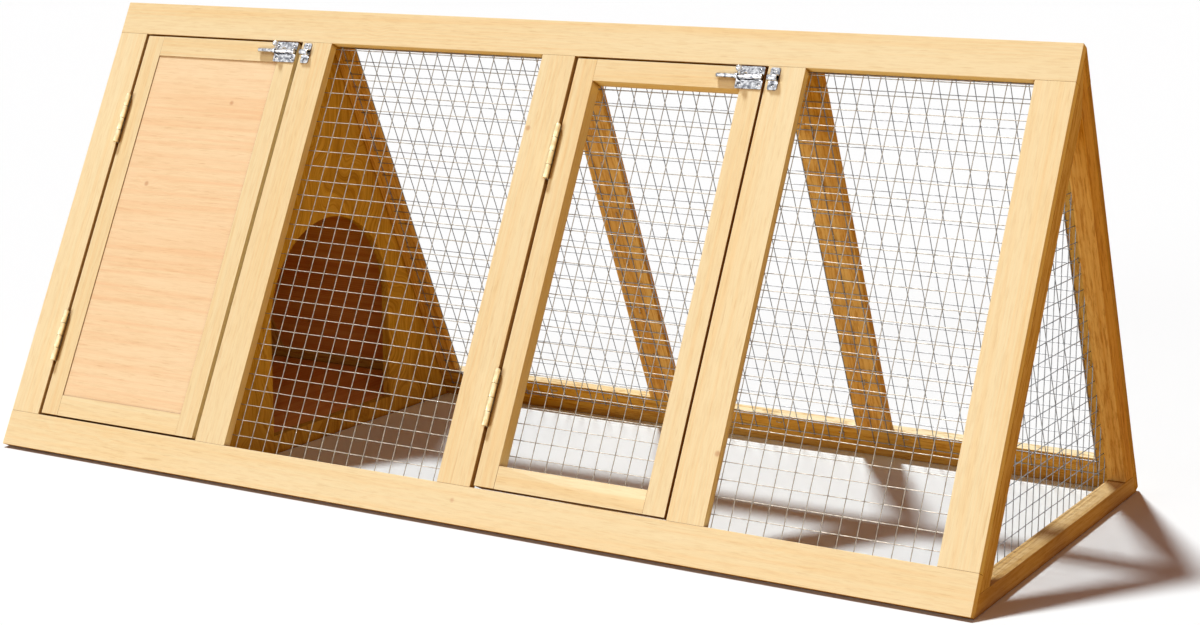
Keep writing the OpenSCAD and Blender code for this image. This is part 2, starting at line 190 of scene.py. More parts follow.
print("helpers:", [helper.__name__ for helper in (math_node, weigh, ramp)])

# %% Colours
MIX_SHARE, MIX_FIRST, MIX_SECOND, MIX_RESULT = 0, 6, 7, 2


def mix_colour(tree, share, first, second, blend="MIX"):
    """Mixes two colours by a share, or blends the second into the first."""
    made = add(tree, "ShaderNodeMix", data_type="RGBA", blend_type=blend)
    for place, value in ((MIX_SHARE, share), (MIX_FIRST, first), (MIX_SECOND, second)):
        if isinstance(value, bpy.types.NodeSocket):
            tree.links.new(value, made.inputs[place])
        else:
            made.inputs[place].default_value = value
    return made.outputs[MIX_RESULT]


def in_nooks(tree, colour, shade, distance, rays, closed, clear):
    """Paints a shade colour over a colour where another surface stands close in front: painted shade in
    nooks.
    """
    nook = add(tree, "ShaderNodeAmbientOcclusion", {"Distance": distance}, samples=rays)
    return mix_colour(tree, ramp(tree, nook.outputs["AO"], closed, clear), shade, colour)


def paint(red, green, blue):
    """The light of a colour that is written as a screen shows it, 0 to 255.

    The curve is the screens' standard one: a straight line near black, and a power above it."""
    shares = [channel / 255 for channel in (red, green, blue)]
    return (*[s / 12.92 if s <= 0.04045 else ((s + 0.055) / 1.055) ** 2.4 for s in shares], 1.0)


print("pale pine as light:", [round(value, 3) for value in paint(246, 210, 158)])

# %% [markdown]
# ## Pine
# A plank is cut from a trunk, so its figure is a slice through nested rings. A flat picture of
# wood never turns the corner of a stick properly. Here the trunk itself is modelled as a solid
# pattern: rings round a pith that lies some centimetres outside the stick, bent by slow waves,
# with long pale and rosy streaks, fine fibres, short dark pores and now and then a small knot.
# Every face, edge and end of a stick then shows the slice that it would really show. Each stick
# takes its own place in the trunk from its random number, and its own slight shade.

# %% Places in the trunk
TRUNK_STRIDES = (0.31, 0.17, 3.7)
BOARD_WAVES = (14, 11, 1.0)


def joined(tree, parts, scales):
    """A vector of the three distances, each scaled."""
    scaled = [math_node(tree, "MULTIPLY", part, scale) for part, scale in zip(parts, scales)]
    return add(tree, "ShaderNodeCombineXYZ", dict(enumerate(scaled))).outputs[0]


def noise(tree, parts, across, along, detail=2.0, roughness=0.5):
    """Noise from 0 to 1, with so many blotches in a metre across the grain and along it."""
    place = joined(tree, parts, (across, across, along))
    made = add(tree, "ShaderNodeTexNoise", {"Vector": place, "Scale": 1.0, "Detail": detail,
                                            "Roughness": roughness})
    return made.outputs[0]


def waves(tree, parts, *blotches):
    """Noise that swings as far below 0 as above it."""
    return math_node(tree, "SUBTRACT", noise(tree, parts, *blotches), 0.5)


def figure(tree, parts, blotches, comes_in):
    """A figure of the wood: 0 between the noise's blotches, and 1 well inside them."""
    return ramp(tree, noise(tree, parts, *blotches), *comes_in)


def share_along(tree, source, direction):
    """How far a surface's place or normal reaches along a direction."""
    vector = add(tree, "ShaderNodeTexCoord").outputs[source]
    made = add(tree, "ShaderNodeVectorMath", {0: vector, 1: direction}, operation="DOT_PRODUCT")
    return made.outputs["Value"]


def grain_place(tree, along, across, wavy):
    """Distances across, into and along the grain, in the stick's own place in the trunk."""
    own = add(tree, "ShaderNodeObjectInfo").outputs["Random"]
    parts = []
    for direction, stride in zip((across, along.cross(across), along), TRUNK_STRIDES):
        parts.append(weigh(tree, share_along(tree, "Object", direction), (own, stride)))
    if wavy:
        parts[0] = weigh(tree, parts[0], (waves(tree, parts, *BOARD_WAVES), wavy))
    return parts, own


print("sticks lie up to", TRUNK_STRIDES[-1], "m apart in the trunk")

# %% Knots
KNOT_CELL = 0.075
KNOT_R = 0.0042
KNOT_SOLID_R = KNOT_R * 0.3
HALO_INNER_R, HALO_R = KNOT_R * 0.5, KNOT_R * 5


def knots(tree, parts):
    """How far a place is inside a knot, and inside the grain that a knot pushes aside."""
    place = joined(tree, parts, [1 / KNOT_CELL] * 3)
    cells = add(tree, "ShaderNodeTexVoronoi", {"Vector": place, "Scale": 1.0})
    away = math_node(tree, "MULTIPLY", cells.outputs["Distance"], KNOT_CELL)
    core = math_node(tree, "SUBTRACT", 1.0, ramp(tree, away, KNOT_SOLID_R, KNOT_R))
    halo = math_node(tree, "SUBTRACT", 1.0, ramp(tree, away, HALO_INNER_R, HALO_R))
    return core, halo


print(f"a knot is at most {KNOT_R * 2000:.1f} mm across")

# %% Growth rings
RING = 0.0034
PITH_OUT = 0.07
SLOW_WAVES, SLOW_BEND = (5, 0.8), 0.03
QUICK_WAVES, QUICK_BEND = (45, 2.0), RING * 2.6
KNOT_BEND = RING * 1.5
LATE_WOOD_COMES, LATE_WOOD_ENDS = (0.1, 0.85), (0.88, 1.0)
RING_PATCHES = ((26, 1.6), (0.35, 0.75))


def rings(tree, parts, halo):
    """Growth rings: a slow rise to the dark late wood and a quick fall, with uneven strength."""
    wide, deep, _ = parts
    slow, quick = waves(tree, parts, *SLOW_WAVES), waves(tree, parts, *QUICK_WAVES)
    bend = weigh(tree, 0.0, (slow, SLOW_BEND), (quick, QUICK_BEND), (halo, KNOT_BEND))
    out = math_node(tree, "ADD", deep, PITH_OUT)
    flat = add(tree, "ShaderNodeCombineXYZ", {0: wide, 1: out}).outputs[0]
    radius = add(tree, "ShaderNodeVectorMath", {0: flat}, operation="LENGTH").outputs["Value"]
    turn = math_node(tree, "DIVIDE", math_node(tree, "ADD", radius, bend), RING)
    turn = math_node(tree, "FRACT", turn)
    ring = math_node(tree, "SUBTRACT", ramp(tree, turn, *LATE_WOOD_COMES),
                     ramp(tree, turn, *LATE_WOOD_ENDS))
    return math_node(tree, "MULTIPLY", ring, figure(tree, parts, *RING_PATCHES))


print(f"rings {RING * 1000:.1f} mm wide, round a pith {PITH_OUT * 1000:.0f} mm away")

# %% Figures of the wood
# each has its blotches, and most also the two noise values between which they come in
STREAKS, STREAK_PART = ((130, 2.4, 3.0, 0.6), (0.42, 0.72)), 0.6
BROAD_STREAKS, BROAD_PART = ((24, 1.8, 3.0), (0.4, 0.72)), 0.4
FIBRES = (950, 34, 3.0, 0.65)
PORES = ((620, 42, 1.0), (0.63, 0.74))
FLECKS = ((210, 16, 2.0), (0.72, 0.8))
CURLS = ((360, 38, 4.0, 0.7), (0.46, 0.64))
print("fibres in a metre across the grain:", FIBRES[0])

# %% [markdown]
# The rest of the recipe lays the figures over two colours, the pale early wood and the dark late
# wood, and shades them. Some pieces are pale on the outside, while the faces that look into the pen
# or to the run's end are painted darker and warmer: painted shade, standing in for the shade that
# falls there. So those kinds of pine have a second pair of colours, picked by the way that the
# surface itself faces, and they look the same from wherever they are seen.

# %% Painted shade by facing, and shades of the figure
INNER_FACES = (0.4, 0.6)
PLAIN_SHADE = 0.91
FIBRE_SHADE, PORE_SHADE, FLECK_SHADE, OWN_SHADE = 0.15, -0.08, -0.16, 0.05
WARMTH = (0.7, 1.1, 1.7)


def shade_by_facing(tree, inside, within, outside):
    """Painted shade: one colour on the faces that look inside or to the run's end, and another on the
    rest.
    """
    looks_in, looks_along = [share_along(tree, "Normal", way) for way in (inside, ALONG)]
    facing = math_node(tree, "MAXIMUM", looks_in, looks_along)
    return mix_colour(tree, ramp(tree, facing, *INNER_FACES), outside, within)


def shaded(tree, colour, shade):
    """Darkens a colour, in blue more than in red, as wood darkens."""
    warm = [math_node(tree, "POWER", shade, power) for power in WARMTH]
    shading = add(tree, "ShaderNodeCombineColor", dict(enumerate(warm))).outputs[0]
    return mix_colour(tree, 1.0, colour, shading, "MULTIPLY")


print("powers of a shade in red, green and blue:", WARMTH)

# %% Pine as a recipe
KNOT_BROWN, KNOT_SHARE = paint(186, 118, 62), 0.45
END_FACES, END_SHARE = (0.8, 0.95), 0.3
# painted shade in the gaps between sticks: its colour, how far it reaches and where it comes in
GAP_SHADE = paint(150, 98, 10)
GAP_REACH, GAP_RAYS, GAP_STEP = 0.006, 4, (0.42, 0.93)
FIBRE_RISE, RING_RISE, PORE_RISE = 0.7, 0.4, -0.5
RELIEF, RELIEF_SHARE = 0.0003, 0.35
ROUGHNESS, FIBRE_ROUGHNESS = 0.52, 0.14
SPECULAR = 0.01


def pine(name, along, across, pale, late, ring_share=0.28, streak_share=0.6, curl=0.06, wavy=0.0,
         inside=None, outer=None, gaps=True):
    """Planed pine whose grain runs along a direction, with its wide face across another.

    With a direction that looks inside, those faces have the two colours as painted shade, and the rest
    have outer's."""
    material, tree, shader = new_material(name)
    if inside:
        pale, late = [shade_by_facing(tree, inside, *pair) for pair in zip((pale, late), outer)]
    parts, own = grain_place(tree, along, across, wavy)
    core, halo = knots(tree, parts)
    ring = rings(tree, parts, halo)
    streak, broad = figure(tree, parts, *STREAKS), figure(tree, parts, *BROAD_STREAKS)
    pore, fleck = figure(tree, parts, *PORES), figure(tree, parts, *FLECKS)
    curly = figure(tree, parts, *CURLS)
    fibre = noise(tree, parts, *FIBRES)

    tone = weigh(tree, 0.0, (streak, streak_share * STREAK_PART), (broad, streak_share * BROAD_PART),
                 (ring, ring_share), clamp=True)
    shade = weigh(tree, PLAIN_SHADE, (fibre, FIBRE_SHADE), (pore, PORE_SHADE), (fleck, FLECK_SHADE),
                  (curly, -curl), (own, OWN_SHADE))
    colour = shaded(tree, mix_colour(tree, tone, pale, late), shade)
    colour = mix_colour(tree, math_node(tree, "MULTIPLY", core, KNOT_SHARE), colour, KNOT_BROWN)

    # end grain drinks more light than the planed faces
    end = math_node(tree, "ABSOLUTE", share_along(tree, "Normal", along))
    end = math_node(tree, "MULTIPLY", ramp(tree, end, *END_FACES), END_SHARE)
    colour = mix_colour(tree, end, colour, late)

    # painted shade: the colour darkens in the gaps between sticks, where shade falls
    if gaps:
        colour = in_nooks(tree, colour, GAP_SHADE, GAP_REACH, GAP_RAYS, *GAP_STEP)

    rise = weigh(tree, 0.0, (fibre, FIBRE_RISE), (ring, RING_RISE), (pore, PORE_RISE))
    bump = add(tree, "ShaderNodeBump", {"Height": rise, "Strength": RELIEF_SHARE, "Distance": RELIEF})
    rough = weigh(tree, ROUGHNESS, (fibre, FIBRE_ROUGHNESS))
    tree.links.new(colour, shader.inputs["Base Color"])
    tree.links.new(rough, shader.inputs["Roughness"])
    tree.links.new(bump.outputs[0], shader.inputs["Normal"])
    shader.inputs["Specular IOR Level"].default_value = SPECULAR
    return material


print(f"the grain stands up by about {RELIEF * RELIEF_SHARE * 1000:.1f} mm")

# %% Kinds of pine
# each pair is the pale early wood and the darker late wood
STICK = (paint(250, 243, 205), paint(246, 221, 163))
PANEL = (paint(253, 238, 203), paint(246, 209, 162))
# SHADED, BACK, BACK_RAIL, BACK_END and HUT are painted shade: darker, warmer copies of the pine for
# pieces and inward faces that lie in shade
SHADED = (paint(235, 213, 158), paint(202, 164, 92))
BACK = (paint(246, 216, 140), paint(214, 166, 84))
BACK_RAIL = (paint(232, 204, 120), paint(194, 154, 68))
BACK_END = (paint(222, 192, 112), paint(184, 144, 62))
HUT = (paint(249, 192, 120), paint(225, 143, 76))
BOARD = (paint(236, 203, 98), paint(186, 144, 44))
FIGURED = {"ring_share": 0.4, "streak_share": 0.9}
CURLY = {**FIGURED, "curl": 0.36}
# pieces whose inward faces get painted shade, with the pale sticks' colours elsewhere
SHADE_PAINTED_INSIDE = {"inside": -BACK_OUT, "outer": STICK, "gaps": False}

rail_pine = pine("rail_pine", ALONG, FRONT_UP, *STICK)
front_pine = pine("front_stile_pine", FRONT_UP, ALONG, *STICK)
back_pine = pine("back_stile_pine", BACK_UP, ALONG, *BACK, **CURLY, **SHADE_PAINTED_INSIDE)
back_rail_pine = pine("back_rail_pine", ALONG, BACK_UP, *BACK_RAIL, **CURLY, **SHADE_PAINTED_INSIDE)
back_end_pine = pine("back_end_pine", BACK_UP, ALONG, *BACK_END, **CURLY, **SHADE_PAINTED_INSIDE)
leg_pine = pine("leg_pine", FRONT_UP, ALONG, *SHADED, **CURLY)
base_pine = pine("base_rail_pine", ACROSS, UPRIGHT, *SHADED, **FIGURED, curl=0.16)
panel_pine = pine("panel_pine", ALONG, FRONT_UP, *PANEL, ring_share=0.16, streak_share=0.7, curl=0.05)
hut_pine = pine("hut_pine", ALONG, BACK_UP, *HUT, ring_share=0.5, streak_share=0.8,
                inside=-BACK_OUT, outer=PANEL)
wall_board = pine("wall_board", UPRIGHT, ACROSS, *BOARD, ring_share=0.35, streak_share=0.8,
                  curl=0.26, wavy=0.12)
end_board = pine("end_board", UPRIGHT, ACROSS, *BOARD, ring_share=0.2, streak_share=0.7,
                 curl=0.08, inside=ALONG, outer=PANEL)
floor_board = pine("floor_board", ACROSS, ALONG, *HUT, **FIGURED)
kinds = (rail_pine, front_pine, back_pine, back_rail_pine, back_end_pine, leg_pine, base_pine,
         panel_pine, hut_pine, wall_board, end_board, floor_board)
print("kinds of pine:", [kind.name for kind in kinds])

# %% [markdown]
# ## Metals
# The bolts are bright plated, the hinges are zinc plated with the faint straw colour of passivated
# zinc, and the wire is galvanised, which is duller and a little mottled where the zinc froze on it.
# The nets of the front are painted lighter and warmer than those of the back and of the run's end:
# painted light and shade, for the front stands in the light and the rest in shade. A picture of worn
# steel would have to be fitted to each small piece, so all are one recipe with other values: a
# metallic shader whose roughness and colour drift a little, very fine dents in the bump, and on
# the bolts and hinges painted shade in the nooks. On the bolts the colour drifts far, and its dark
# patches are painted reflection.

# %% Plated metal
PATCH_DETAIL, PATCH_STEP = 3.0, (0.35, 0.7)
SPECKS, SPECK_DETAIL, SPECK_RISE = 1800.0, 2.0, 0.0001
# painted shade on the metal where another surface stands close: how far it reaches and where it comes
# in
NOOK_SHADE_REACH, NOOK_SHADE_RAYS, NOOK_SHADE_STEP = 0.004, 8, (0.35, 0.9)


def plated(name, bright, dull_and_reflected_dark, polish, worn, drift, dents=0.1, nook_shade=None):
    """Plated steel, from its brighter and duller colours and its polished and worn roughness.

    On the bolts the duller colour is painted dark reflection; the nook colour, where given, is painted
    shade.
    """
    material, tree, shader = new_material(name)
    place = add(tree, "ShaderNodeTexCoord").outputs["Object"]
    patches = add(tree, "ShaderNodeTexNoise", {"Vector": place, "Scale": drift, "Detail": PATCH_DETAIL})
    specks = add(tree, "ShaderNodeTexNoise", {"Vector": place, "Scale": SPECKS, "Detail": SPECK_DETAIL})
    # the colour drifts between the two; on the bolts the dark colour is painted reflection
    share = ramp(tree, patches.outputs[0], *PATCH_STEP)
    colour = mix_colour(tree, share, bright, dull_and_reflected_dark)
    # painted shade in the nooks, where another surface stands close in front
    if nook_shade:
        colour = in_nooks(tree, colour, nook_shade, NOOK_SHADE_REACH, NOOK_SHADE_RAYS, *NOOK_SHADE_STEP)
    tree.links.new(colour, shader.inputs["Base Color"])
    rough = add(tree, "ShaderNodeMapRange", {"Value": share, "To Min": polish, "To Max": worn})
    tree.links.new(rough.outputs["Result"], shader.inputs["Roughness"])
    bump = add(tree, "ShaderNodeBump", {"Height": specks.outputs[0], "Strength": dents,
                                        "Distance": SPECK_RISE})
    tree.links.new(bump.outputs[0], shader.inputs["Normal"])
    shader.inputs["Metallic"].default_value = 1.0
    return material


# the bolts' dark patches are painted reflection, and their nook colour is painted shade
bright_steel = plated("bright_plated_steel", paint(240, 241, 244), paint(122, 124, 132),
                      polish=0.1, worn=0.22, drift=300.0, nook_shade=paint(44, 42, 46))
# the hinges' nook colour is painted shade
straw_zinc = plated("straw_zinc", paint(246, 230, 190), paint(224, 200, 154),
                    polish=0.36, worn=0.48, drift=160.0, nook_shade=paint(96, 64, 34))
# the same galvanised wire twice, as painted light and shade: a lighter, warmer copy for the lit front
# and a greyer copy for the back and the run's end
lit_wire = plated("lit_galvanised_wire", paint(176, 168, 156), paint(138, 131, 121),
                  polish=0.42, worn=0.56, drift=220.0, dents=0.2)
shaded_wire = plated("shaded_galvanised_wire", paint(158, 159, 161), paint(124, 126, 129),
                   polish=0.4, worn=0.55, drift=220.0, dents=0.2)
print("metals:", [metal.name for metal in (bright_steel, straw_zinc, lit_wire, shaded_wire)])

# %% [markdown]
# ## Dressing the solids
# The sticks, boards and metal pieces already have the right shapes, so they keep them and get a
# finish. A sawn and planed stick never has a knife edge: its arrises are rubbed down by about half
# a millimetre. They could be cut into each mesh, but a Bevel modifier does it to every solid
# without touching its mesh. The corners have to be welded first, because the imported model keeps
# each flat face apart from the next.

# %% Soft arrises
WOOD_ARRIS = 0.0006
METAL_ARRIS = 0.00015
ARRIS_SEGMENTS = 2
ARRIS_ANGLE = math.radians(35)
SAME_PLACE = 1e-6


def finish_solid(node, material, width):
    """Gives a carried-over solid its material, and rounds its sharp edges by modifiers alone."""
    piece = nodes[node]
    piece.data.materials.clear()
    piece.data.materials.append(material)
    weld = piece.modifiers.new("weld", "WELD")
    weld.merge_threshold = SAME_PLACE
    bevel = piece.modifiers.new("arris", "BEVEL")
    bevel.width = width
    bevel.segments = ARRIS_SEGMENTS
    bevel.limit_method = "ANGLE"
    bevel.angle_limit = ARRIS_ANGLE
    bevel.harden_normals = True
    bevel.use_clamp_overlap = True


print("arrises:", WOOD_ARRIS * 1000, "mm on wood and", METAL_ARRIS * 1000, "mm on metal")

# %% A finish for each solid
OWN_PINE = {"door_1_panel": panel_pine, "hut_back_wall": hut_pine, "partition_board": wall_board,
            "left_end_board": end_board, "hut_floor": floor_board, "floor_bearers": base_pine,
            "left_base_rail": base_pine, "right_base_rail": base_pine, "right_front_leg": leg_pine,
            "right_back_leg": back_pine, "back_bottom_rail": back_rail_pine,
            "back_top_rail": back_rail_pine, "back_stile_5": back_end_pine}
METAL_OF = {"leaf": straw_zinc, "pin": straw_zinc, "plate": bright_steel, "rod": bright_steel,
            "knob": bright_steel, "keeper": bright_steel}
REMADE = ("screws", "mesh")


def grain_of(node):
    """The pine that a wooden piece is cut from, by the way that its grain runs."""
    if node in OWN_PINE:
        return OWN_PINE[node]
    if node.endswith("_rail"):
        return rail_pine
    return back_pine if node.startswith("back_stile") else front_pine


wooden = []
for node in nodes:
    last_word = node.split("_")[-1]
    if last_word in METAL_OF:
        finish_solid(node, METAL_OF[last_word], METAL_ARRIS)
    elif last_word not in REMADE:
        finish_solid(node, grain_of(node), WOOD_ARRIS)
        wooden.append(node)
print("wooden pieces:", len(wooden))

# %% [markdown]
# ## Welded wire mesh
# The mesh is made of straight wires a millimetre thick. One set lies on the other, and a machine
# welds every crossing, which sinks the wires a little into each other and swells them there. The
# solids show only some of the wires, as flat strips. A sheet with a pattern of holes would be
# quicker to make, but it has no thickness at the edges of the holes. Here each wire is a tube: a
# ring of corners swept along its line, fatter at its welds and wandering by a tenth of a
# millimetre.

# %% Tubes for wire
WIRE_R = 0.0005
WIRE_SIDES = 6


def sweep(corners, faces, line, radii):
    """Adds a closed tube along a line of points, with a radius at each."""
    first = len(corners)
    for place, point in enumerate(line):
        before, after = line[max(place - 1, 0)], line[min(place + 1, len(line) - 1)]
        ahead = (after - before).normalized()
        side = ahead.orthogonal().normalized() if place == 0 else side - ahead * side.dot(ahead)
        side.normalize()
        up = ahead.cross(side)
        for step in range(WIRE_SIDES):
            turn = 2 * math.pi * step / WIRE_SIDES
            corners.append(point + (side * math.cos(turn) + up * math.sin(turn)) * radii[place])
    for ring in range(len(line) - 1):
        start = first + ring * WIRE_SIDES
        for step in range(WIRE_SIDES):
            near, following = start + step, start + (step + 1) % WIRE_SIDES
            faces.append((near, following, following + WIRE_SIDES, near + WIRE_SIDES))
    faces.append(tuple(range(first + WIRE_SIDES - 1, first - 1, -1)))
    faces.append(tuple(range(len(corners) - WIRE_SIDES, len(corners))))


print("a net's wires are", WIRE_R * 2000, "mm thick with", WIRE_SIDES, "sides")

# %% One wire, and a piece made of wires
WELD_SWELL = 1.22
WELD_HALF = 0.0012
WANDER = 0.00012
dice = random.Random(7)


def wire(corners, faces, start, end, crossings, swollen):
    """One wire from start to end. Its crossings are distances from the start."""
    length = (end - start).length
    ahead = (end - start) / length
    side = ahead.orthogonal().normalized()
    other = ahead.cross(side)
    line, radii = [start], [WIRE_R]
    for crossing in crossings:
        if not WELD_HALF * 2 < crossing < length - WELD_HALF * 2:
            continue
        off = side * dice.uniform(-WANDER, WANDER) + other * dice.uniform(-WANDER, WANDER)
        steps = (-WELD_HALF, 0, WELD_HALF) if swollen else (0,)
        for step in steps:
            line.append(start + ahead * (crossing + step) + off)
            radii.append(WIRE_R * (WELD_SWELL if swollen and step == 0 else 1.0))
    line.append(end)
    radii.append(WIRE_R)
    sweep(corners, faces, line, radii)


def mesh_of(name, corners, faces):
    """Mesh data with these corners and faces."""
    data = bpy.data.meshes.new(name)
    data.from_pydata([tuple(corner) for corner in corners], [], faces)
    return data


def mesh_piece(name, corners, faces, material, body, slot, *replaced):
    """Makes a piece from corners and faces, and hangs it on its body."""
    data = mesh_of(name, corners, faces)
    data.materials.append(material)
    data.validate()
    data.shade_smooth()
    piece = put(name, data)
    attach(piece, body)
    if replaced:
        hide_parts(*replaced)
    return piece


print("a weld is", WELD_SWELL, "times as thick as its wire, and", WELD_HALF * 2000, "mm long")

# %% [markdown]
# ## Nets
# A net is laid out by its pitch, by where one wire of each set lies, and by how far it reaches
# behind the sticks that hold it. Array modifiers would space the wires too, but the outline of a
# net can follow the slopes, as the run's end needs. So each wire asks for its own two ends.

# %% Laying out a net
PITCH_ALONG = 0.0186
PITCH_UP = 0.01736
WELD_DEPTH = 0.0007


def steps_between(low, high, pitch, phase):
    """Places a pitch apart between two limits, one of them at the phase."""
    first = math.ceil((low - phase) / pitch)
    last = math.floor((high - phase) / pitch)
    return [phase + pitch * k for k in range(first, last + 1)]


def net(name, place, columns, rows, column_ends, row_ends, body, node, zinc):
    """Upright wires at the columns and level wires at the rows, behind the plane of place()."""
    corners, faces = [], []
    upright_depth, level_depth = WIRE_R, WIRE_R + WELD_DEPTH
    for column in columns:
        low, high = column_ends(column)
        crossings = [row - low for row in rows if low < row < high]
        start, end = place(column, low, upright_depth), place(column, high, upright_depth)
        wire(corners, faces, start, end, crossings, swollen=False)
    for row in rows:
        low, high = row_ends(row)
        crossings = [column - low for column in columns if low < column < high]
        start, end = place(low, row, level_depth), place(high, row, level_depth)
        wire(corners, faces, start, end, crossings, swollen=True)
    return mesh_piece(name, corners, faces, zinc, body, "wire", node)


print(f"a wire every {PITCH_ALONG * 1000:.1f} mm along and {PITCH_UP * 1000:.1f} mm up the slope")

# %% The openings in the panels
Bay = namedtuple("Bay", "up out face foot stiles rails")
SIDES = {"front": (FRONT_UP, FRONT_OUT), "back": (BACK_UP, BACK_OUT)}


def bay(side, near_stile, far_stile, low_rail, high_rail):
    """An opening: its directions, the sticks' inner side, the panel's foot, and the sticks' edges."""
    up, out = SIDES[side]
    return Bay(up, out, face=reach(near_stile, out)[0], foot=reach(f"{side}_bottom_rail", up)[0],
               stiles=(reach(near_stile, ALONG)[1], reach(far_stile, ALONG)[0]),
               rails=(reach(low_rail, up)[1], reach(high_rail, up)[0]))


def on_bay(opening):
    """A function that turns a place in an opening and a depth behind its sticks into a point."""
    return lambda x, v, depth: ALONG * x + opening.up * v + opening.out * (opening.face - depth)


front_rails = ("front_bottom_rail", "front_top_rail")
bays = {"window_1": bay("front", "front_stile_2", "front_stile_3", *front_rails),
        "window_2": bay("front", "front_stile_4", "front_stile_5", *front_rails),
        "back": bay("back", "back_stile_2", "back_stile_5", "back_bottom_rail", "back_top_rail"),
        "door_2": bay("front", "door_2_hinge_stile", "door_2_latch_stile",
                      "door_2_bottom_rail", "door_2_top_rail")}
for name, opening in bays.items():
    wide, high = [edges[1] - edges[0] for edges in (opening.stiles, opening.rails)]
    print(f"{name} {wide:.3f} m by {high:.3f} m")

# %% Nets of the openings
WIRE_END = 0.003
PANEL_LAPS = (0.02, 0.017, 0.022)
DOOR_LAPS = (0.016, 0.016, 0.016)
# for each net its body, its wire, its laps over the near stile, the far stile and the rails, and
# where one upright and one level wire lie, from the hutch's left end and from the panel's foot
NETS = {"window_1": ("frame", lit_wire, PANEL_LAPS, (0.3224, 0.5065)),
        "window_2": ("frame", lit_wire, PANEL_LAPS, (0.9050, 0.5065)),
        "back": ("frame", shaded_wire, PANEL_LAPS, (0.3224, 0.5065)),
        "door_2": ("door_2", lit_wire, DOOR_LAPS, (0.6700, 0.4800))}
left_end = reach("front_bottom_rail", ALONG)[0]

for name, (body, zinc, laps, wires_at) in NETS.items():
    opening = bays[name]
    near_lap, far_lap, rail_lap = laps
    columns = steps_between(opening.stiles[0] - near_lap, opening.stiles[1] + far_lap, PITCH_ALONG,
                            left_end + wires_at[0])
    rows = steps_between(opening.rails[0] - rail_lap, opening.rails[1] + rail_lap, PITCH_UP,
                         opening.foot + wires_at[1])
    ends_up = (rows[0] - WIRE_END, rows[-1] + WIRE_END)
    ends_along = (columns[0] - WIRE_END, columns[-1] + WIRE_END)
    made = net(f"{name}_net", on_bay(opening), columns, rows, lambda x: ends_up, lambda v: ends_along,
               body, f"{name}_mesh", zinc)
    print(made.name, len(made.data.vertices), "corners")

# %% [markdown]
# The net of the run's end is a triangle, cut from the same mesh. Its wires are upright and level,
# and both stop a few millimetres short of the two slopes, as a net does that is cut with snips to
# lie between the sticks. A rectangle cut by a Boolean would leave open wire ends, so here too each
# wire is made with its own length.

# %% Net of the run's end
END_ROOM = 0.0055
END_WIRE_AT = 0.004
END_BELOW = 0.002
end_low, end_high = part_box("right_end_mesh")
slope_gap = END_ROOM / FRONT_UP.z
front_slope = reach("front_stile_5", FRONT_OUT)[0]


def end_half_width(z):
    """Half the room between the slopes at a height, less the room left at the edges."""
    front_y = (front_slope - z * FRONT_OUT.z) / FRONT_OUT.y
    return -front_y - slope_gap


foot_half_width = end_half_width(0)
# the height where the two leaning edges of the net would meet
peak = front_slope / FRONT_OUT.z - slope_gap * FRONT_UP.z / FRONT_UP.y


def end_place(y, z, depth):
    """A point behind the outer side of the net, at a place across and a height."""
    return Vector((end_high.x - depth, y, z))


def end_column_ends(y):
    """Where an upright wire starts and ends."""
    top = (foot_half_width - abs(y)) / foot_half_width * peak
    return end_low.z - END_BELOW, min(top, end_high.z)


def end_row_ends(z):
    """Where a level wire starts and ends."""
    return -end_half_width(z), end_half_width(z)


end_columns = steps_between(*end_row_ends(end_low.z), PITCH_ALONG, END_WIRE_AT)
end_columns = [y for y in end_columns if end_column_ends(y)[1] > end_low.z + PITCH_UP]
end_rows = steps_between(end_low.z, end_high.z, PITCH_UP, end_low.z + WIRE_R)
made = net("right_end_net", end_place, end_columns, end_rows, end_column_ends, end_row_ends, "frame",
           "right_end_mesh", shaded_wire)
print(made.name, len(made.data.vertices), "corners")

# %% [markdown]
# ## Screws
# Small round-headed screws hold the bolts and the keepers. A cross recess is what the eye looks
# for in such a head. A bump could draw it, but it would be flat from the side, so the head is
# turned as a dome and the cross is cut out with a Boolean.

# %% One cross-headed screw
HEAD_R, HEAD_H = 0.0026, 0.0013
RECESS_R, RECESS_HALF, RECESS_DEPTH = 0.00145, 0.00032, 0.0008
DOME_RINGS, DOME_SIDES = 6, 28


def dome():
    """A round head, seated on z = 0 and facing +Z."""
    dome_r = (HEAD_R**2 + HEAD_H**2) / (2 * HEAD_H)
    widest = math.asin(HEAD_R / dome_r)
    corners, faces = [Vector((0, 0, HEAD_H))], []
    for ring in range(1, DOME_RINGS + 1):
        angle = widest * ring / DOME_RINGS
        ring_r, ring_z = dome_r * math.sin(angle), HEAD_H - dome_r * (1 - math.cos(angle))
        for step in range(DOME_SIDES):
            turn = 2 * math.pi * step / DOME_SIDES
            corners.append(Vector((ring_r * math.cos(turn), ring_r * math.sin(turn), ring_z)))
    for step in range(DOME_SIDES):
        following = (step + 1) % DOME_SIDES
        faces.append((0, 1 + step, 1 + following))
        for ring in range(DOME_RINGS - 1):
            near, far = 1 + ring * DOME_SIDES, 1 + (ring + 1) * DOME_SIDES
            faces.append((near + step, far + step, far + following, near + following))
    faces.append(tuple(range(len(corners) - 1, len(corners) - DOME_SIDES - 1, -1)))
    return put("head", mesh_of("head", corners, faces))


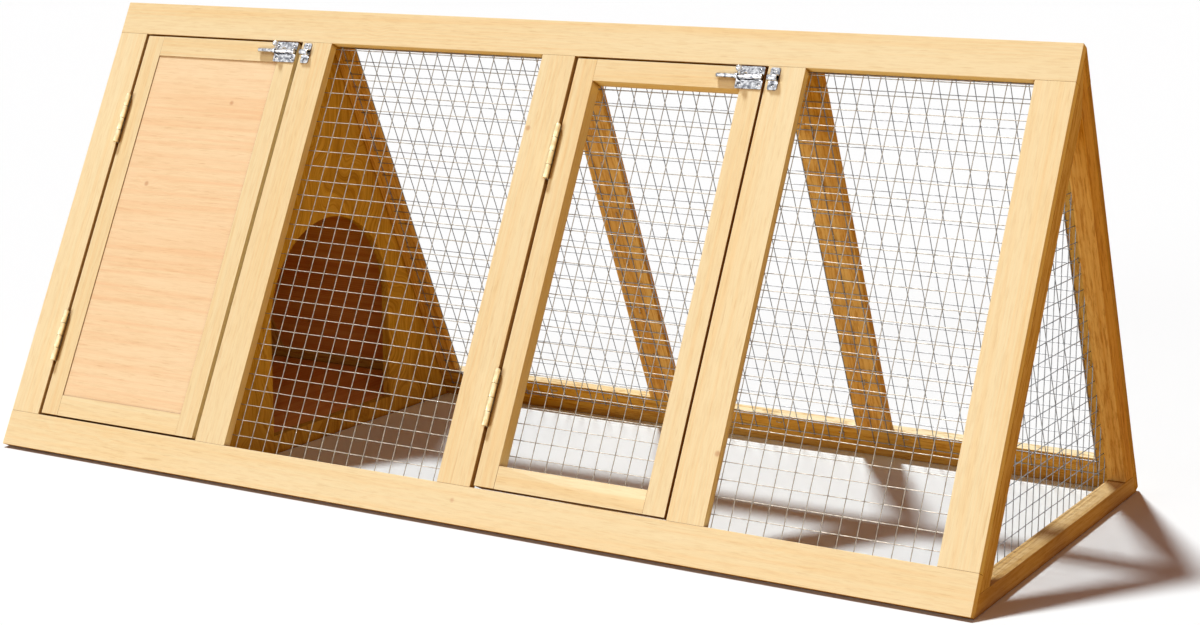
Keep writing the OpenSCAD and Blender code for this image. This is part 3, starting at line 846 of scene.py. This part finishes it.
def cross():
    """The two blades that cut the recess, with their middle at the top of the head."""
    blades = bmesh.new()
    for turned in (0, 90):
        made = bmesh.ops.create_cube(blades, size=1.0)
        shape = (Matrix.Translation((0, 0, HEAD_H)) @ Matrix.Rotation(math.radians(turned), 4, "Z")
                 @ Matrix.Diagonal((RECESS_R * 2, RECESS_HALF * 2, RECESS_DEPTH * 2, 1)))
        bmesh.ops.transform(blades, matrix=shape, verts=made["verts"])
    data = bpy.data.meshes.new("cutter")
    blades.to_mesh(data)
    blades.free()
    return put("cutter", data)


def screw_head():
    """The mesh of one screw head with its cross cut out."""
    head, cutter = dome(), cross()
    cut = head.modifiers.new("cross", "BOOLEAN")
    cut.operation = "DIFFERENCE"
    cut.object = cutter
    cut.solver = "EXACT"
    cut.use_self = True
    bpy.context.view_layer.update()
    shaped = bpy.data.meshes.new_from_object(head.evaluated_get(bpy.context.evaluated_depsgraph_get()))
    for used in (head, cutter):
        bpy.data.objects.remove(used)
    return shaped


head_pattern = screw_head()
print("a screw head has", len(head_pattern.polygons), "faces")

# %% [markdown]
# A node of the model holds several screws as separate solids. Their places could be copied here as
# numbers, but they can be found: a walk from corner to corner along the edges stays on one screw.
# The walk starts from the lowest-numbered corner that is left, so the screws always come in the
# same order and each keeps the same turn.

# %% Finding the screws


def separate_parts(node):
    """The corners of each separate part of a solid, as a list for each part."""
    shape = bmesh.new()
    shape.from_mesh(nodes[node].data)
    bmesh.ops.remove_doubles(shape, verts=shape.verts, dist=SAME_PLACE)
    found, parts = set(), []
    for first in shape.verts:
        if first in found:
            continue
        found.add(first)
        group = [first]
        for corner in group:
            for neighbour in (edge.other_vert(corner) for edge in corner.link_edges):
                if neighbour not in found:
                    found.add(neighbour)
                    group.append(neighbour)
        parts.append([corner.co.copy() for corner in group])
    shape.free()
    return parts


print("screws on bolt 1:", len(separate_parts("bolt_1_screws")))

# %% Heads on the screws
SMOOTH_BELOW = math.radians(38)


def screw_heads(name, node, body):
    """Stands a head on each screw of a node, each turned by its own angle."""
    whole = bmesh.new()
    leaning = Matrix((ALONG, FRONT_UP, FRONT_OUT)).transposed().to_4x4()
    for screw in separate_parts(node):
        top = max(corner.dot(FRONT_OUT) for corner in screw)
        middle = sum(screw, Vector()) / len(screw)
        seat = middle + FRONT_OUT * (top - HEAD_H - middle.dot(FRONT_OUT))
        before = len(whole.verts)
        whole.from_mesh(head_pattern)
        whole.verts.ensure_lookup_table()
        turned = Matrix.Rotation(dice.uniform(0, math.pi / 2), 4, "Z")
        placed = Matrix.Translation(seat) @ leaning @ turned
        bmesh.ops.transform(whole, matrix=placed, verts=whole.verts[before:])
    data = bpy.data.meshes.new(name)
    whole.to_mesh(data)
    whole.free()
    data.materials.append(bright_steel)
    data.shade_smooth()
    data.set_sharp_from_angle(angle=SMOOTH_BELOW)
    piece = put(name, data)
    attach(piece, body)
    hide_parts(node)
    return piece


for name, node, body in (("bolt_1_screw_heads", "bolt_1_screws", "door_1"),
                         ("bolt_2_screw_heads", "bolt_2_screws", "door_2"),
                         ("keeper_screw_heads", "keeper_screws", "frame")):
    made = screw_heads(name, node, body)
    print(made.name, len(made.data.polygons), "faces")
bpy.data.meshes.remove(head_pattern)

# %% [markdown]
# ## Staples
# The nets are stapled to the back of the sticks. A staple is one short wire over a wire of the
# net, with its two legs driven into the wood. Copies of one staple would all lie alike, so each is
# swept as the wires are, a little askew. They are easy to miss from the front, but the run's
# inside shows them from every other side.

# %% One staple
STAPLE_CROWN = 0.0064
STAPLE_R = 0.00045
STAPLE_BITE = 0.004
STAPLE_SHOULDER = 0.6
STAPLE_LEAN = 0.12


def staple(corners, faces, middle, along_crown, inward):
    """One staple whose crown lies along a direction and whose legs go back into the wood."""
    half = along_crown * (STAPLE_CROWN / 2)
    flat = along_crown * (STAPLE_CROWN / 2 - STAPLE_R)
    rise = inward * (WIRE_R * 2 + WELD_DEPTH + STAPLE_R)
    shoulder, bite = rise * STAPLE_SHOULDER, inward * STAPLE_BITE
    line = [middle - half - bite, middle - half + shoulder, middle - flat + rise,
            middle + flat + rise, middle + half + shoulder, middle + half - bite]
    sweep(corners, faces, line, [STAPLE_R] * len(line))


def stapled(name, spots, body):
    """A piece of staples at (middle, direction of the crown, way out of the wood)."""
    corners, faces = [], []
    for middle, along_crown, inward in spots:
        askew = along_crown.cross(inward) * dice.uniform(-STAPLE_LEAN, STAPLE_LEAN)
        staple(corners, faces, middle, (along_crown + askew).normalized(), inward)
    return mesh_piece(name, corners, faces, lit_wire, body, "wire")


print("a staple is", STAPLE_CROWN * 1000, "mm wide")

# %% Staples round the openings
STAPLE_EVERY = 4
SCATTER_ALONG, SCATTER_ASIDE = 0.004, 0.002
STAPLE_INSET, DOOR_STAPLE_INSET = 0.010, 0.009


def row_of_spots(low, high, pitch, point_at, crown, inward):
    """Spots from low to high at every few wires, each a little out of its place along and aside."""
    steps = max(2, round((high - low) / (pitch * STAPLE_EVERY)))
    spots = []
    for k in range(1, steps):
        along = low + (high - low) * k / steps + dice.uniform(-SCATTER_ALONG, SCATTER_ALONG)
        aside = dice.uniform(-SCATTER_ASIDE, SCATTER_ASIDE)
        spots.append((point_at(along, aside), crown, inward))
    return spots


def bay_spots(opening, columns, row_ends, inset):
    """Spots down the stiles at the columns, and along the two rails between the rows' ends."""
    point, inward = on_bay(opening), -opening.out
    spots = []
    for column in columns:
        spots += row_of_spots(*opening.rails, PITCH_UP, lambda v, aside: point(column + aside, v, 0),
                              opening.up, inward)
    for row in (opening.rails[0] - inset, opening.rails[1] + inset):
        spots += row_of_spots(*row_ends, PITCH_ALONG, lambda x, aside: point(x, row + aside, 0),
                              ALONG, inward)
    return spots


for name, opening in bays.items():
    body = NETS[name][0]
    inset = DOOR_STAPLE_INSET if name == "door_2" else STAPLE_INSET
    columns, row_ends = [opening.stiles[0] - inset, opening.stiles[1] + inset], opening.stiles
    # two more stiles cross the opening of the back
    if name == "back":
        row_ends = tuple(columns)
        columns[1:1] = [sum(reach(stile, ALONG)) / 2 for stile in ("back_stile_3", "back_stile_4")]
    spots = bay_spots(opening, columns, row_ends, inset)
    made = stapled(f"{name}_staples", spots, body)
    print(made.name, len(spots))

# %% [markdown]
# ## Floor and light
# The hutch stands on a plain white floor. A studio can make such a floor white with more light,
# but that much light would wash out pale wood. So the floor is shown brighter to the camera, and
# in reflections, than it shines on the wood: the background is white, and the shadows stay. What
# the floor shines back is warm, as light is beside pale wood.

# %% Floor
FLOOR_SIZE = 30.0
FLOOR_SHOWN = (0.869, 0.966, 0.99, 1)
FLOOR_SHINES = (0.58, 0.32, 0.01, 1)
FLOOR_DROP = 0.0002


def show_or_shine(tree, output, shines, shown):
    """One shader for the rays that light the hutch, and another for those that show what is behind.

    What is behind is seen from the camera, in a reflection, or through glass."""
    path = add(tree, "ShaderNodeLightPath")
    seen = math_node(tree, "MAXIMUM", path.outputs["Is Camera Ray"], path.outputs["Is Glossy Ray"])
    seen = math_node(tree, "MAXIMUM", seen, path.outputs["Is Transmission Ray"])
    either = add(tree, "ShaderNodeMixShader", {0: seen, 1: shines.outputs[0], 2: shown.outputs[0]})
    add(tree, output, {"Surface": either.outputs[0]})


floor_paint = bpy.data.materials.new("white_floor")
tree = empty_tree(floor_paint)
show_or_shine(tree, "ShaderNodeOutputMaterial",
              add(tree, "ShaderNodeBsdfDiffuse", {"Color": FLOOR_SHINES}),
              add(tree, "ShaderNodeBsdfDiffuse", {"Color": FLOOR_SHOWN}))

floor_mesh = bmesh.new()
bmesh.ops.create_grid(floor_mesh, x_segments=2, y_segments=2, size=FLOOR_SIZE / 2)
floor_data = bpy.data.meshes.new("floor")
floor_mesh.to_mesh(floor_data)
floor_mesh.free()
floor_data.materials.append(floor_paint)
floor = put("floor", floor_data)
floor.location.z = -FLOOR_DROP
print("floor", FLOOR_SIZE, "m square")

# %% [markdown]
# Most of the light comes from overhead and a little from the left, and gives the shadow at the
# run's end its clear edge. A broad soft light fills the front, and a faint warm one from the right
# reaches the sides of the sticks. Area lamps near the hutch would do the same, but they light its
# near end more than its far end, so these are distant lamps. The surroundings add a little red,
# which warms the shade inside the hut.

# %% Lamps and surroundings
OVERHEAD_FROM = Vector((-0.29, 0.03, 0.96))
FRONT_FROM = Vector((-0.47, -0.87, 0.05))
RIGHT_FROM = Vector((0.62, -0.70, 0.35))
WARM_SHADE = (0.13, 0.037, 0.026, 1)
WHITE = (1, 1, 1, 1)


def sun(name, from_direction, share, softness, colour):
    """A distant lamp. A share of 1 lights a surface that faces it as its colour is written."""
    lamp = bpy.data.lights.new(name, "SUN")
    lamp.energy = share * math.pi
    lamp.angle = math.radians(softness)
    lamp.color = colour
    holder = put(name, lamp)
    holder.rotation_mode = "QUATERNION"
    holder.rotation_quaternion = (-from_direction).to_track_quat("-Z", "Y")


sun("overhead_light", OVERHEAD_FROM, share=0.98, softness=6, colour=(1.0, 0.985, 0.985))
sun("front_light", FRONT_FROM, share=0.465, softness=30, colour=(0.99, 0.985, 0.965))
sun("right_light", RIGHT_FROM, share=0.12, softness=40, colour=(1.0, 0.72, 0.42))

world = bpy.data.worlds.new("studio")
bpy.context.scene.world = world
tree = empty_tree(world)
show_or_shine(tree, "ShaderNodeOutputWorld",
              add(tree, "ShaderNodeBackground", {"Color": WARM_SHADE, "Strength": 1.0}),
              add(tree, "ShaderNodeBackground", {"Color": WHITE, "Strength": 1.0}))
